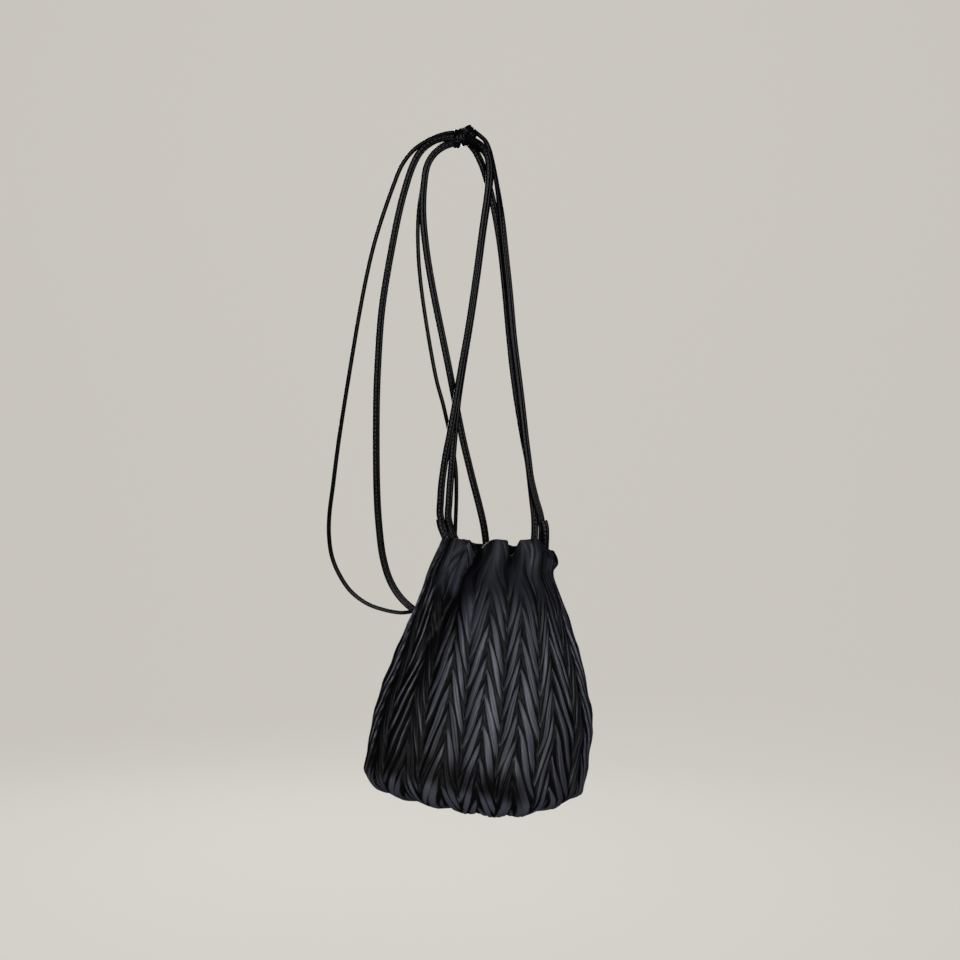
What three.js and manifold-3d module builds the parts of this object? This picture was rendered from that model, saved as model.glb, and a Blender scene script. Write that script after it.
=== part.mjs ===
// Pleated drawstring purse: a soft pouch of chevron-pleated faux leather, gathered at its mouth,
// hung by a knot in its long flat cords. Millimetres, +Z up, front towards -Y.
// The origin is the point beside the knot where the cords hang on a support.
import * as THREE from "three";
import { mergeVertices } from "three/addons/utils/BufferGeometryUtils.js";
import Module from "manifold-3d";

// Leather and pleats
const WALL = 1.4; // leather at the bottom of a pleat
const PLEAT_RISE = 1.7; // a pleat's edge stands this far out in its middle
const CREASE_DEPTH = 0.9; // its crease, and the valley line of a chevron, lie this far in
const RIDGE_RISE = 0.5; // the ridge line of a chevron stands this far out
const RIM_RELIEF = 0.35; // share of the pleats' height that is left at the rim
const RIM_FADE = 50; // length down the wall over which they reach their full height
const CHEVRONS = 16; // chevron columns round the pouch
const PLEAT_PITCH = 21.5; // from one pleat to the next, down the wall
const PLEAT_DROP = 42; // how far a pleat falls across half a chevron
const FACETS_PER_HALF = 3; // flat facets across half a chevron
const INNER_ROWS = 7; // rows of facets down the smooth inside

// Flat cords
const CORD_WIDTH = 5.6;
const CORD_THICKNESS = 3.1;
const CORD_SIDES = 8;
const END_WIDTH = 6.8; // a folded-back end is wider, as it wraps the cord
const END_THICKNESS = 2.2;
const STRAP_STEPS = 28;
const LOOP_STEPS = 50;
const END_STEPS = 4;
const PIECE_GAP = 0.3; // clear space kept between two pieces

// Colours
const LEATHER_COLOUR = 0x17171a;
const CORD_COLOUR = 0x121214;

// Turns rows of numbers into objects with the named columns.
const table = (columns, rows) =>
  rows.map((row) => Object.fromEntries(columns.split(" ").map((name, i) => [name, row[i]])));

// Sections of the pouch from the rim down to the edge of the base.
// square fills out the corners and spread widens the chevrons at front and back. tilt lifts the left side
// and lowers the right, and the lifts raise the two sides above the sagging middle.
const SECTIONS = table("z centreX halfWidth centreY halfDepth square spread tilt liftLeft liftRight", [
  [-314.5, 11.1, 38.0, -18.0, 19.0, 0.0, 0.5, 0, 0, 0],
  [-323.0, 10.9, 41.7, -19.5, 20.5, 0.0, 0.45, 0, 0, 0],
  [-339.0, 6.8, 46.4, -23.0, 24.0, 0.0, 0.36, 0, 0, 0],
  [-352.0, 7.3, 52.2, -26.5, 27.5, 0.0, 0.24, 0, 0, 0],
  [-366.0, 7.0, 57.9, -29.5, 30.5, 0.01, 0.1, 0, 0, 0],
  [-382.0, 6.2, 63.6, -32.0, 33.0, 0.01, -0.01, 0, 0, 0],
  [-396.0, 5.3, 68.2, -34.0, 35.0, 0.02, -0.11, 0, 0, 0],
  [-412.0, 4.3, 73.8, -36.0, 37.0, 0.02, -0.18, 0, 0, 0],
  [-428.0, 2.6, 78.9, -38.0, 39.0, 0.03, -0.26, 0, 0, 0],
  [-445.0, 1.7, 83.2, -39.6, 40.6, 0.03, -0.3, 0, 0, 0],
  [-458.0, 0.9, 84.8, -40.4, 41.4, 0.04, -0.33, 0, 0, 0],
  [-473.0, -1.0, 84.8, -40.8, 41.8, 0.04, -0.34, 0, 0, 0],
  [-487.0, -2.9, 85.0, -40.8, 41.6, 0.04, -0.34, 2, 0, 2],
  [-499.0, -3.0, 83.6, -40.8, 39.6, 0.04, -0.33, 5, 0, 6],
  [-509.0, -2.2, 79.8, -40.8, 35.6, 0.04, -0.3, 8, 1, 12],
  [-516.0, -1.6, 72.0, -40.8, 29.6, 0.03, -0.26, 10, 2, 17],
  [-520.0, -1.0, 60.0, -40.8, 21.6, 0.02, -0.22, 11, 3, 19],
]);
const BASE_Z = -521; // the middle of the base
const BASE_X = -1;

// Gathers round the mouth: angle from the front towards +X and half its spread in degrees, depth at the
// rim (out is positive), how far down it fades, and how far the rim dips there.
const GATHERS = table("angle halfAngle depth length rimDip", [
  [-88, 18, 3.4, 44, 0],
  [-48, 20, 2.6, 80, 0],
  [-20, 14, -8.0, 130, 4],
  [0, 12, 1.6, 60, 0],
  [22, 10, -6.5, 48, 8],
  [52, 18, 2.4, 60, 0],
  [74, 8, -2.5, 60, 2],
  [93, 16, 7.5, 36, 7],
  [124, 15, -5.0, 80, 3],
  [152, 12, -3.5, 55, 2],
  [180, 14, -5.0, 90, 3],
  [207, 12, -4.0, 60, 0],
  [236, 15, -5.0, 80, -1],
]);
const RIM_DIP_LENGTH = 30;

// Routes of the cords, from the knot down (straps) or round and back to the knot (loops).
const STRAP_LEFT_FRONT = [
  [-10.6, -4.4, 1.6], [-1.9, -6.5, -3.2], [3.5, -7, -8.4], [6.3, -7.2, -16.4], [6.9, -7.5, -25.9],
  [5.9, -8, -40.1], [1.7, -9, -70.1], [-3.2, -10.1, -107.1], [-9, -11.6, -146.5],
  [-14.5, -13, -177.9], [-18.8, -14.5, -203.8], [-22.9, -16, -227.3], [-27.3, -17.2, -250],
  [-30.1, -18, -269.5], [-31.1, -18.5, -283.5], [-31.4, -18.8, -295.2], [-28.3, -19, -305.3],
  [-24.3, -19, -313.1], [-22.1, -19, -320.1], [-21.3, -19, -327.9],
];
const STRAP_LEFT_BACK = [
  [-8.3, -1.5, -1.1], [-1.2, -2.6, -4.9], [4.3, -3.2, -10.5], [7.2, -3.6, -18.1],
  [7.6, -4, -27.6], [6.4, -4.5, -41.1], [2, -5.5, -71.2], [-2.8, -6.6, -107.5],
  [-8.5, -8, -146.2], [-13.7, -9.2, -177.7], [-17.6, -10.6, -203.6], [-20.1, -12.2, -227.2],
  [-22, -13.6, -249.9], [-23.7, -14.8, -271], [-24.6, -15.6, -285.1], [-25.2, -16, -296.8],
  [-22.8, -15.8, -306.9], [-19.5, -15.7, -314.7], [-17.2, -15.7, -321.7], [-16.4, -15.7, -328],
];
const STRAP_RIGHT_OUTER = [
  [-5.1, 1, 8], [-0.4, 1.2, 4.3], [3.7, 1.2, 0.3], [6.7, 1.2, -6], [9.1, 1, -15.1],
  [12.8, -0.4, -34.2], [16.3, -3.4, -59.1], [19.3, -5.4, -86.9], [22.7, -7, -120.1],
  [25.7, -8.6, -154.1], [28.6, -9.8, -178.5], [31.4, -11, -201.3], [33.7, -12.6, -221.7],
  [35.4, -13.8, -237.4], [37.1, -14.6, -250.7], [39.1, -15.4, -266.3], [43, -16.2, -282.7],
  [46.4, -16.8, -294.4], [48, -17, -304.6], [47.8, -17.2, -313.1], [47.2, -17.4, -320.1],
  [46.6, -17.6, -327.9],
];
const STRAP_RIGHT_INNER = [
  [-9.9, 2.5, -0.3], [-4.2, 2.2, -7.5], [1.5, 1.8, -19.4], [5.3, 1.4, -31.4], [9.1, 0.8, -45.7],
  [13.2, 0, -66.4], [16.5, -0.8, -88.6], [19.6, -2.4, -118.8], [22.7, -4.2, -153.7],
  [25.2, -5.4, -178.2], [28.2, -6.8, -201.1], [31.4, -8.4, -221.6], [34.2, -9.6, -237.3],
  [37.3, -10.8, -253], [39.1, -11.7, -267.9], [40.8, -12.5, -283.5], [42.1, -13.6, -295.3],
  [42.4, -14.4, -307], [41.8, -15.2, -317.1], [41, -15.8, -328],
];
const SLACK_LOOP_OUTER = [
  [-19.4, 5.3, 7.7], [-27.4, 5.3, 6.9], [-36.1, 5.3, 4.2], [-44.8, 5.3, -0.2], [-53.9, 5.3, -6.9],
  [-62.3, 5.2, -18], [-69, 5, -33.9], [-81.2, 5, -69.6], [-87.6, 5, -93.4], [-94.9, 5.2, -129],
  [-101.1, 5.6, -164.7], [-112.5, 6.4, -236.1], [-117.1, 6.8, -271.9], [-120.1, 7.2, -295.7],
  [-120.4, 7.4, -312.4], [-118, 7.6, -329], [-112.1, 7.8, -343.3], [-103, 8, -356.5],
  [-90.3, 8.2, -366], [-76, 8.7, -371.2], [-61.7, 9, -373.3], [-48.1, 9.2, -370.2],
  [-35.4, 9.2, -362.3], [-21.9, 9.1, -333.9], [-20.6, 8.6, -318], [-19.8, 8.2, -299.7],
  [-19.2, 7.8, -277.4], [-20, 7.6, -256], [-29, 7.2, -210.7], [-35.5, 7, -186.1],
  [-47.1, 6.6, -115.4], [-49.7, 6.4, -82.1], [-49.3, 6.2, -56.7], [-46.8, 6, -37.7],
  [-43.6, 5.8, -19.1], [-36.9, 5.5, -7.7], [-28.6, 5.3, -1.2], [-19.4, 5.3, 2],
];
const SLACK_LOOP_INNER = [
  [-19.4, 0.5, 3.3], [-27.3, 0.5, 2.8], [-35.2, 0.6, 0.8], [-42.3, 0.8, -3.2], [-48.3, 1, -9.3],
  [-53.7, 1.2, -19.5], [-58.8, 1.4, -34.5], [-64.8, 1.6, -57.4], [-75.1, 2, -112],
  [-78.6, 2.2, -137.3], [-81, 2.4, -171.3], [-82.4, 2.6, -208.5], [-82.1, 3.2, -275.8],
  [-80.3, 3.6, -305.9], [-77.2, 4, -329.7], [-71.9, 4.2, -347.2], [-64.6, 4.3, -359.5],
  [-55.6, 4.4, -368.6], [-45.3, 4.4, -375.3], [-34.5, 4.4, -377.8], [-22.6, 4.4, -375.7],
  [-12.3, 4.4, -369.4], [-3.6, 4.4, -358.3], [2, 4.4, -343.2], [4.5, 4.4, -325.8],
  [3, 4.2, -306.7], [-7.8, 3.6, -261.6], [-14.2, 3.2, -234.6], [-25.6, 2.4, -176.9],
  [-38.7, 1.6, -112], [-43.4, 1.2, -82], [-45.6, 1, -55.9], [-44.7, 0.8, -33.8],
  [-42, 0.6, -18.8], [-36.5, 0.5, -9.9], [-28.9, 0.5, -4.2], [-19.4, 0.5, -1],
];
const CORD_END_LEFT = [
  [-31.2, -22.0, -298.2], [-30.4, -22.0, -303.0], [-28.4, -22.0, -308.5], [-27.0, -22.0, -311.6],
];
const CORD_END_RIGHT = [
  [49.2, -20.2, -299.6], [50.4, -20.4, -304.4], [50.6, -20.6, -310.4], [49.9, -20.6, -314.2],
];

// Turns of the knot, each a ring of cord round the bundle: centre, the ring's half-height and half-depth,
// the thickness of the turn, and how far its axis leans from +X, in degrees about Y and about Z.
const KNOT_TURNS = table("x y z halfHeight halfDepth thickness leanY leanZ", [
  [-18.5, 1.0, 1.9, 5.2, 5.4, 5.0, 6, 4],
  [-13.6, 0.4, 3.2, 4.9, 5.2, 5.0, -9, -8],
  [-11.6, 0.5, 6.9, 4.4, 5.0, 5.2, 41, 6],
  [-7.0, 0.4, 3.6, 4.0, 4.4, 5.0, 41, -6],
]);
const KNOT_CORE = { x: -12.6, y: 0.6, z: 3.0, halfX: 7.4, halfY: 5.6, halfZ: 5.2 };
const RING_STEPS = 12;
const RING_SIDES = 8;

const wasm = await Module();
wasm.setup();

const lerp = THREE.MathUtils.lerp;
const rad = THREE.MathUtils.degToRad;

// Length down the wall at which each section lies.
const sectionAt = [0];
for (let i = 1; i < SECTIONS.length; i++) {
  const above = SECTIONS[i - 1];
  const here = SECTIONS[i];
  const inward = (above.halfWidth + above.halfDepth - here.halfWidth - here.halfDepth) / 2;
  sectionAt.push(sectionAt[i - 1] + Math.hypot(above.z - here.z, inward));
}
const WALL_LENGTH = sectionAt.at(-1);

// One column of the section table at a length down the wall, on a smooth curve through the rows.
function sectionValue(name, length) {
  let i = 0;
  while (i < SECTIONS.length - 2 && length > sectionAt[i + 1]) i++;
  const share = (length - sectionAt[i]) / (sectionAt[i + 1] - sectionAt[i]);
  const value = (k) => SECTIONS[THREE.MathUtils.clamp(k, 0, SECTIONS.length - 1)][name];
  const slopeIn = (value(i + 1) - value(i - 1)) / 2;
  const slopeOut = (value(i + 2) - value(i)) / 2;
  const cube = share ** 3;
  const square = share ** 2;
  return (
    value(i) * (2 * cube - 3 * square + 1) +
    slopeIn * (cube - 2 * square + share) +
    value(i + 1) * (3 * square - 2 * cube) +
    slopeOut * (cube - square)
  );
}

// Angle round the pouch, from the front towards +X, of a share of its girth.
const angleAt = (girth, length) =>
  2 * Math.PI * girth + (sectionValue("spread", length) / 2) * Math.sin(4 * Math.PI * girth);

// A point of the smooth pouch before gathers and pleats.
function smoothPoint(girth, length) {
  const angle = angleAt(girth, length);
  const square = sectionValue("square", length);
  const halfDepth = sectionValue("halfDepth", length);
  const across = (Math.sin(angle) + square * Math.sin(3 * angle)) / (1 - square);
  const forward = (Math.cos(angle) - square * Math.cos(3 * angle)) / (1 - square);
  const lift = sectionValue(Math.sin(angle) < 0 ? "liftLeft" : "liftRight", length);
  return new THREE.Vector3(
    sectionValue("centreX", length) + sectionValue("halfWidth", length) * across,
    sectionValue("centreY", length) - halfDepth * forward,
    sectionValue("z", length) - sectionValue("tilt", length) * Math.sin(angle) + lift * Math.sin(angle) ** 2,
  );
}

// A point of the pouch, moved out by the gathers and by the amount given.
function pouchPoint(girth, length, out) {
  const step = 1e-3;
  const point = smoothPoint(girth, length);
  const along = smoothPoint(girth + step, length).sub(smoothPoint(girth - step, length));
  const low = Math.min(length + 1, WALL_LENGTH);
  const high = Math.max(length - 1, 0);
  const down = smoothPoint(girth, low).sub(smoothPoint(girth, high));
  const normal = down.cross(along).normalize();
  const angle = THREE.MathUtils.radToDeg(angleAt(girth, length));
  let push = out;
  for (const gather of GATHERS) {
    const away = THREE.MathUtils.euclideanModulo(angle - gather.angle + 180, 360) - 180;
    if (Math.abs(away) >= gather.halfAngle) continue;
    const bump = Math.cos((Math.PI / 2) * (away / gather.halfAngle)) ** 2;
    push += gather.depth * bump * (1 - THREE.MathUtils.smoothstep(length, 0, gather.length));
    point.z -= gather.rimDip * bump * (1 - THREE.MathUtils.smoothstep(length, 0, RIM_DIP_LENGTH));
  }
  return point.addScaledVector(normal, push);
}

// Keeps the part of a polygon on one side of a length down the wall.
function clip(polygon, limit, keepBelow) {
  const inside = (corner) => (keepBelow ? corner.length >= limit : corner.length <= limit);
  const kept = [];
  polygon.forEach((corner, i) => {
    const next = polygon[(i + 1) % polygon.length];
    if (inside(corner)) kept.push(corner);
    if (inside(corner) === inside(next)) return;
    const share = (limit - corner.length) / (next.length - corner.length);
    kept.push({
      girth: lerp(corner.girth, next.girth, share),
      length: limit,
      out: lerp(corner.out, next.out, share),
    });
  });
  return kept;
}

// The pleated outside as polygons: in each strip of a chevron the pleat edges and creases fall from the
// chevron's ridge line to its valley line. The pleats of the next half chevron start half a pitch lower,
// so its edges meet the creases of this one, and all of them run out flat on the two lines.
function pleatPolygons() {
  const polygons = [];
  const strips = CHEVRONS * 2 * FACETS_PER_HALF;
  const first = -Math.ceil(PLEAT_DROP / PLEAT_PITCH) - 1;
  const last = Math.ceil(WALL_LENGTH / PLEAT_PITCH) + 1;
  const corner = (side, line) => {
    const length = line.at + PLEAT_DROP * side.share;
    const onLine = side.share === 0 ? RIDGE_RISE : -CREASE_DEPTH;
    const out = side.share === 0 || side.share === 1 ? onLine : line.out;
    const height = lerp(RIM_RELIEF, 1, THREE.MathUtils.smoothstep(length, 0, RIM_FADE));
    return { girth: side.girth, length, out: out * height };
  };
  for (let strip = 0; strip < strips; strip++) {
    const half = Math.floor(strip / FACETS_PER_HALF);
    const start = half % 2 ? PLEAT_PITCH / 2 : 0;
    const sides = [strip, strip + 1].map((s) => {
      const within = (s - half * FACETS_PER_HALF) / FACETS_PER_HALF;
      return { girth: s / strips, share: half % 2 ? 1 - within : within };
    });
    for (let pleat = first; pleat < last; pleat++) {
      const edge = { at: start + pleat * PLEAT_PITCH, out: PLEAT_RISE };
      const crease = { at: start + (pleat + 0.5) * PLEAT_PITCH, out: -CREASE_DEPTH };
      const nextEdge = { at: start + (pleat + 1) * PLEAT_PITCH, out: PLEAT_RISE };
      for (const [upper, lower] of [[edge, crease], [crease, nextEdge]]) {
        let polygon = [
          corner(sides[0], upper),
          corner(sides[0], lower),
          corner(sides[1], lower),
          corner(sides[1], upper),
        ];
        polygon = clip(polygon, 0, true);
        if (polygon.length > 2) polygon = clip(polygon, WALL_LENGTH, false);
        if (polygon.length > 2) polygons.push(polygon);
      }
    }
  }
  return polygons;
}

// Collects triangles as a list of coordinates.
const pushTriangle = (list, a, b, c) => list.push(...a.toArray(), ...b.toArray(), ...c.toArray());

// Joins two closed rows of points, each in order of girth, with triangles.
function joinRows(list, outer, inner) {
  const total = outer.length + inner.length;
  let i = 0;
  let j = 0;
  while (i + j < total) {
    const nextOuter = i < outer.length ? outer[(i + 1) % outer.length].girth + Math.floor((i + 1) / outer.length) : Infinity;
    const nextInner = j < inner.length ? inner[(j + 1) % inner.length].girth + Math.floor((j + 1) / inner.length) : Infinity;
    const a = outer[i % outer.length].point;
    const b = inner[j % inner.length].point;
    if (nextOuter <= nextInner) {
      i++;
      pushTriangle(list, a, outer[i % outer.length].point, b);
    } else {
      j++;
      pushTriangle(list, a, inner[j % inner.length].point, b);
    }
  }
}

function closedGeometry(list) {
  const geometry = new THREE.BufferGeometry();
  geometry.setAttribute("position", new THREE.Float32BufferAttribute(list, 3));
  const merged = mergeVertices(geometry, 1e-3);
  merged.computeVertexNormals();
  return merged;
}

// The pouch: pleated outside, smooth inside, joined at the rim and closed by the base.
function pouchGeometry() {
  const list = [];
  const rim = new Map();
  const foot = new Map();
  for (const polygon of pleatPolygons()) {
    const points = polygon.map((c) => pouchPoint(c.girth, c.length, c.out));
    polygon.forEach((c, i) => {
      const key = Math.round(c.girth * 1e6) % 1e6;
      const entry = { girth: key / 1e6, point: points[i] };
      if (c.length === 0) rim.set(key, entry);
      if (c.length === WALL_LENGTH) foot.set(key, entry);
    });
    for (let i = 2; i < points.length; i++) pushTriangle(list, points[0], points[i - 1], points[i]);
  }
  const inOrder = (edge) => [...edge.values()].sort((a, b) => a.girth - b.girth);
  const columns = CHEVRONS * 2 * FACETS_PER_HALF;
  const depth = -CREASE_DEPTH - WALL;
  const row = (share) =>
    Array.from({ length: columns }, (_, i) => ({
      girth: i / columns,
      point: pouchPoint(i / columns, share * WALL_LENGTH, depth),
    }));
  const rows = Array.from({ length: INNER_ROWS + 1 }, (_, i) => row(i / INNER_ROWS));
  for (let r = 0; r < INNER_ROWS; r++) {
    for (let i = 0; i < columns; i++) {
      const next = (i + 1) % columns;
      const [a, b] = [rows[r][i].point, rows[r][next].point];
      const [c, d] = [rows[r + 1][next].point, rows[r + 1][i].point];
      pushTriangle(list, a, b, c);
      pushTriangle(list, a, c, d);
    }
  }
  joinRows(list, inOrder(rim), rows[0]);
  const under = new THREE.Vector3(BASE_X, SECTIONS.at(-1).centreY, BASE_Z);
  const above = under.clone().setZ(BASE_Z + WALL + CREASE_DEPTH);
  const close = (edge, middle, faceDown) =>
    edge.forEach((entry, i) => {
      const next = edge[(i + 1) % edge.length].point;
      if (faceDown) pushTriangle(list, entry.point, middle, next);
      else pushTriangle(list, entry.point, next, middle);
    });
  close(inOrder(foot), under, true);
  close(rows[INNER_ROWS], above, false);
  return closedGeometry(list);
}

// A solid to join or cut, and the geometry of a solid.
function solidOf(geometry) {
  const plain = new THREE.BufferGeometry();
  const source = geometry.index ? geometry.toNonIndexed() : geometry;
  plain.setAttribute("position", source.getAttribute("position"));
  const merged = mergeVertices(plain, 1e-4);
  return new wasm.Manifold(
    new wasm.Mesh({
      numProp: 3,
      vertProperties: new Float32Array(merged.getAttribute("position").array),
      triVerts: new Uint32Array(merged.index.array),
    }),
  );
}
function geometryOf(solid) {
  const mesh = solid.getMesh();
  const geometry = new THREE.BufferGeometry();
  geometry.setAttribute("position", new THREE.BufferAttribute(mesh.vertProperties, 3));
  geometry.setIndex(new THREE.BufferAttribute(mesh.triVerts, 1));
  geometry.computeVertexNormals();
  return geometry;
}

// A flat cord along a route, its steps closer together near the two ends.
class EasedRoute extends THREE.CatmullRomCurve3 {
  constructor(route, ease) {
    super(route.map((p) => new THREE.Vector3(...p)), false, "centripetal");
    this.ease = ease;
    this.arcLengthDivisions = 1200;
  }
  getUtoTmapping(share, distance) {
    if (distance !== undefined && distance !== null) return super.getUtoTmapping(share, distance);
    return super.getUtoTmapping(share - (this.ease * Math.sin(2 * Math.PI * share)) / (2 * Math.PI));
  }
}
function cordGeometry(route, steps, ease, acrossY, alongRoute) {
  const corners = Array.from({ length: CORD_SIDES }, (_, i) => {
    const turn = (2 * Math.PI * (i + 0.5)) / CORD_SIDES;
    const edge = Math.cos(Math.PI / CORD_SIDES);
    return new THREE.Vector2(
      (acrossY / 2) * (Math.cos(turn) / edge),
      (alongRoute / 2) * (Math.sin(turn) / edge),
    );
  });
  return new THREE.ExtrudeGeometry(new THREE.Shape(corners), {
    steps,
    bevelEnabled: false,
    extrudePath: new EasedRoute(route, ease),
  });
}

// The knot: turns of cord round a core. With a margin it is the space that the cords keep clear.
function knotSolid(margin) {
  const core = new THREE.SphereGeometry(1, 12, 6);
  core.scale(KNOT_CORE.halfX + margin, KNOT_CORE.halfY + margin, KNOT_CORE.halfZ + margin);
  core.translate(KNOT_CORE.x, KNOT_CORE.y, KNOT_CORE.z);
  let solid = solidOf(core);
  for (const turn of KNOT_TURNS) {
    const ring = new THREE.TorusGeometry(1, 0.5, RING_SIDES, RING_STEPS);
    const places = ring.getAttribute("position");
    const thick = turn.thickness / 2 + margin;
    for (let i = 0; i < places.count; i++) {
      const around = Math.atan2(places.getY(i), places.getX(i));
      const outward = (Math.hypot(places.getX(i), places.getY(i)) - 1) / 0.5;
      const height = turn.halfHeight + thick * outward;
      const depth = turn.halfDepth + thick * outward;
      places.setXYZ(i, (places.getZ(i) / 0.5) * thick, depth * Math.sin(around), height * Math.cos(around));
    }
    ring.rotateY(rad(turn.leanY));
    ring.rotateZ(rad(turn.leanZ));
    ring.translate(turn.x, turn.y, turn.z);
    const made = solidOf(ring);
    solid = solid.add(made.volume() < 0 ? solidOf(flip(ring)) : made);
  }
  return solid;
}
function flip(geometry) {
  const index = geometry.index.array;
  for (let i = 0; i < index.length; i += 3) [index[i], index[i + 1]] = [index[i + 1], index[i]];
  return geometry;
}

const leather = new THREE.MeshStandardMaterial({ color: LEATHER_COLOUR, roughness: 0.45, metalness: 0 });
leather.name = "pleated_leather";
const cordLeather = new THREE.MeshStandardMaterial({ color: CORD_COLOUR, roughness: 0.5, metalness: 0 });
cordLeather.name = "cord_leather";

const purse = new THREE.Group();
purse.name = "pleated_drawstring_purse";
function addPiece(name, geometry, material) {
  const mesh = new THREE.Mesh(geometry, material);
  mesh.name = name;
  purse.add(mesh);
}

addPiece("pouch", pouchGeometry(), leather);

const knot = knotSolid(0);
const knotClearance = knotSolid(PIECE_GAP);
addPiece("strap_knot", geometryOf(knot), cordLeather);

// The straps lie with their broad side to the front, the outer loop with its edge to the front.
const STRAP_EASE = 0.5;
const LOOP_EASE = 0.3;
const CORDS = table("name route steps ease acrossY alongRoute", [
  ["strap_left_front", STRAP_LEFT_FRONT, STRAP_STEPS, STRAP_EASE, CORD_THICKNESS, CORD_WIDTH],
  ["strap_left_back", STRAP_LEFT_BACK, STRAP_STEPS, STRAP_EASE, CORD_THICKNESS, CORD_WIDTH],
  ["strap_right_outer", STRAP_RIGHT_OUTER, STRAP_STEPS, STRAP_EASE, CORD_THICKNESS, CORD_WIDTH],
  ["strap_right_inner", STRAP_RIGHT_INNER, STRAP_STEPS, STRAP_EASE, CORD_THICKNESS, CORD_WIDTH],
  ["slack_loop_outer", SLACK_LOOP_OUTER, LOOP_STEPS, LOOP_EASE, CORD_WIDTH, CORD_THICKNESS],
  ["slack_loop_inner", SLACK_LOOP_INNER, LOOP_STEPS, LOOP_EASE, CORD_THICKNESS, CORD_WIDTH],
]);
for (const cord of CORDS) {
  const tube = cordGeometry(cord.route, cord.steps, cord.ease, cord.acrossY, cord.alongRoute);
  addPiece(cord.name, geometryOf(solidOf(tube).subtract(knotClearance)), cordLeather);
}
addPiece("cord_end_left", cordGeometry(CORD_END_LEFT, END_STEPS, 0, END_THICKNESS, END_WIDTH), cordLeather);
addPiece("cord_end_right", cordGeometry(CORD_END_RIGHT, END_STEPS, 0, END_THICKNESS, CORD_WIDTH), cordLeather);

export default purse;
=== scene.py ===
import math

import bpy
import numpy as np
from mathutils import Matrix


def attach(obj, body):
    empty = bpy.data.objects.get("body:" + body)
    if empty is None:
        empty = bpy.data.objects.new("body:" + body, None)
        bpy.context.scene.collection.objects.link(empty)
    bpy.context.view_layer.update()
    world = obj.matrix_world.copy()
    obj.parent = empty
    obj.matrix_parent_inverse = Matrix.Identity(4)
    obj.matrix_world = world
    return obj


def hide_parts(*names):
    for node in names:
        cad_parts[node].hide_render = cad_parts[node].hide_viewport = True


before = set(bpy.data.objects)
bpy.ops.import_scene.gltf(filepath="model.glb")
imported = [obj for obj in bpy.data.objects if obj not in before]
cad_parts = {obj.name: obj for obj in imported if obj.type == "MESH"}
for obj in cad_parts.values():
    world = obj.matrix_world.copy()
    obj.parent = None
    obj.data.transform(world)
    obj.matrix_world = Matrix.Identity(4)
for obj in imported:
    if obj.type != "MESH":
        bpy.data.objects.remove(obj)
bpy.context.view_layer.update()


# Camera
# A level long lens straight in front of the hanging purse, a little above the middle of its drop,
# so the straps and the pouch stand upright and undistorted in a square picture.
MM = 0.001
CAMERA_PLACE = (-0.4 * MM, -1300 * MM, -267.9 * MM)
SENSOR_WIDTH = 36.0
FOCAL_SHARE = 1645 / 960

camera_data = bpy.data.cameras.new("camera")
camera_data.sensor_width = SENSOR_WIDTH
camera_data.lens = SENSOR_WIDTH * FOCAL_SHARE
camera = bpy.data.objects.new("camera", camera_data)
camera.location = CAMERA_PLACE
camera.rotation_euler = (math.pi / 2, 0, 0)
bpy.context.scene.collection.objects.link(camera)
bpy.context.scene.camera = camera


# Left front strap
# A limp flat cord of black leather, folded into two rolled edges and stitched along the groove between them.
# It leaves the knot under the hanging point and runs down into the left corner of the mouth.
CORD_WIDTH = 5.6 * MM
CORD_THICKNESS = 3.1 * MM
CORD_CORNERS = 24
CORD_SPACING = 0.6 * MM
ROUTE_STEPS = 40
# Across a cord, as shares of its half-width: the middles of its rolled edges, and the groove between them.
ROLL_MIDDLE = 0.47
GROOVE_SHARE = 0.05
STITCH_PITCH = 3.2 * MM
STITCH_SHARE = 0.74
STITCH_RISE = 0.32 * MM
# The slow sway of a hanging cord is the sum of two waves: radians per metre, size, and the step of its start.
SWAY_WAVES = [(31, 1.0, 1), (57, 0.6, 2)]
UNTWIST_START = 40 * MM
UNTWIST_END = 95 * MM
CORD_DARK = (0.0012, 0.0012, 0.0014, 1)
CORD_WORN = (0.0030, 0.0030, 0.0034, 1)
THREAD_COLOUR = (0.0038, 0.0038, 0.0043, 1)


def smooth_route(points):
    """Evenly spaced places, in metres, on one smooth curve through a route's points."""
    line = np.array(points, float) * MM
    line = np.vstack([2 * line[0] - line[1], line, 2 * line[-1] - line[-2]])
    fine = []
    for a, b, c, d in zip(line, line[1:], line[2:], line[3:]):
        knot_b = math.sqrt(np.linalg.norm(b - a))
        knot_c = knot_b + math.sqrt(np.linalg.norm(c - b))
        knot_d = knot_c + math.sqrt(np.linalg.norm(d - c))
        t = np.linspace(knot_b, knot_c, ROUTE_STEPS, endpoint=False)[:, None]
        ab = a * (knot_b - t) / knot_b + b * t / knot_b
        bc = b * (knot_c - t) / (knot_c - knot_b) + c * (t - knot_b) / (knot_c - knot_b)
        cd = c * (knot_d - t) / (knot_d - knot_c) + d * (t - knot_c) / (knot_d - knot_c)
        abc = ab * (knot_c - t) / knot_c + bc * t / knot_c
        bcd = bc * (knot_d - t) / (knot_d - knot_b) + cd * (t - knot_b) / (knot_d - knot_b)
        fine.append(abc * (knot_c - t) / (knot_c - knot_b) + bcd * (t - knot_b) / (knot_c - knot_b))
    fine.append(line[-2:-1])
    fine = np.vstack(fine)
    run = np.concatenate([[0], np.cumsum(np.linalg.norm(np.diff(fine, axis=0), axis=1))])
    even = np.linspace(0, run[-1], round(run[-1] / CORD_SPACING) + 1)
    return np.stack([np.interp(even, run, fine[:, axis]) for axis in range(3)], axis=1)


def unit(vectors):
    """The same directions with a length of 1."""
    return vectors / np.linalg.norm(vectors, axis=-1, keepdims=True)


def eased(low, high, value):
    """Rises smoothly from 0 at low to 1 at high."""
    share = np.clip((value - low) / (high - low), 0, 1)
    return share * share * (3 - 2 * share)


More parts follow.
